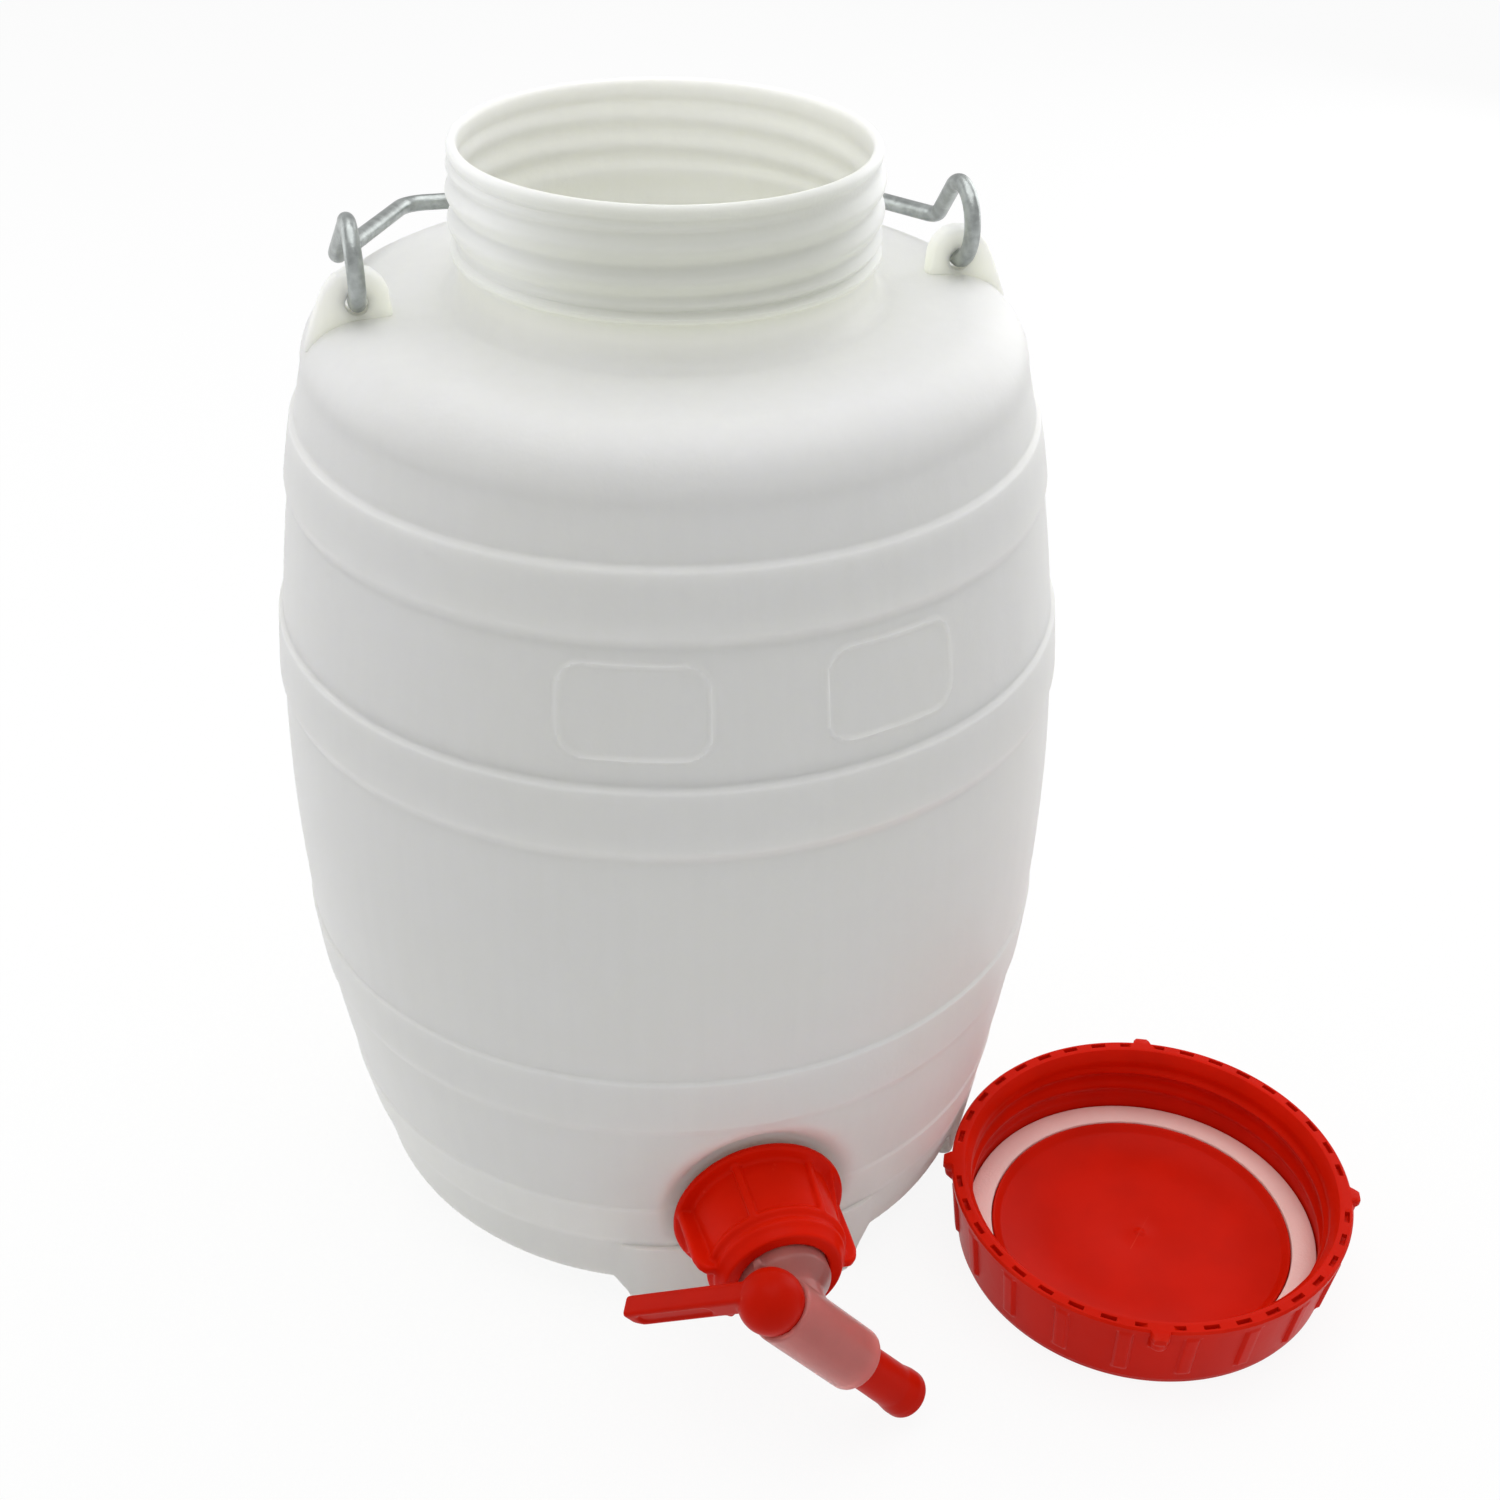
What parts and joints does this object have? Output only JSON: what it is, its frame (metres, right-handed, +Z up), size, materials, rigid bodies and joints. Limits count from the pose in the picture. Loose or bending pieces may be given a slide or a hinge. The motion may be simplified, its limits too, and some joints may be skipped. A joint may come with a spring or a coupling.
{
  "type": "plastic container with spigot",
  "caption": "Barrel-shaped plastic container with a wide threaded neck, a wire bail, a screw lid laid beside it and a lever tap that swivels near the base.",
  "frame": {"origin": "centre of the base panel's flat underside, on the barrel's axis, 11 mm above the feet", "axes": "+Z up along the barrel's axis, -Y towards the tap, the bail's ears on +X and -X"},
  "size_m": [0.3145, 0.2866, 0.337],
  "materials": {
    "natural_polyethylene": "milky translucent, satin",
    "zinc_wire": "zinc plated",
    "red_plastic": "satin gloss",
    "soft_seal": "soft, pale",
    "clear_polypropylene": "translucent, satin gloss"
  },
  "bodies": {
    "barrel": {"barrel": "natural_polyethylene"},
    "bail": {"bail": "zinc_wire"},
    "lid": {"lid": "red_plastic", "lid_seal": "soft_seal"},
    "tap_carrier": {"tap_seal": "soft_seal"},
    "nut": {"tap_nut": "red_plastic"},
    "tap": {"tap_body": "clear_polypropylene"},
    "spindle": {"tap_spindle": "red_plastic"}
  },
  "joints": [
    {"name": "bail_swing", "type": "hinge", "parent": "barrel", "child": "bail", "pos_m": [0, 0, 0.299], "axis": [1, 0, 0], "range_deg": [0, 194]},
    {"name": "lid_lift", "type": "slide", "parent": "barrel", "child": "lid", "axis": [0.5546, -0.4387, 0.7071], "range_m": [0, 0.2]},
    {"name": "tap_draw", "type": "slide", "parent": "barrel", "child": "tap_carrier", "axis": [0, -1, 0], "range_m": [0, 0.01]},
    {"name": "nut_turn", "type": "hinge", "parent": "tap_carrier", "child": "nut", "pos_m": [0, -0.106, 0.0415], "axis": [0, -1, 0], "range_deg": [0, 900.5]},
    {"name": "tap_swivel", "type": "hinge", "parent": "tap_carrier", "child": "tap", "pos_m": [0, -0.152, 0.0415], "axis": [0, -1, 0], "range_deg": [0, 35]},
    {"name": "spindle_turn", "type": "hinge", "parent": "tap", "child": "spindle", "pos_m": [0, -0.152, 0.0415], "axis": [-0.6157, 0, 0.788], "range_deg": [0, 90]}
  ],
  "couplings": [
    {"joint": "nut_turn", "follows": "tap_draw", "rad_per_m": 1570.8}
  ]
}
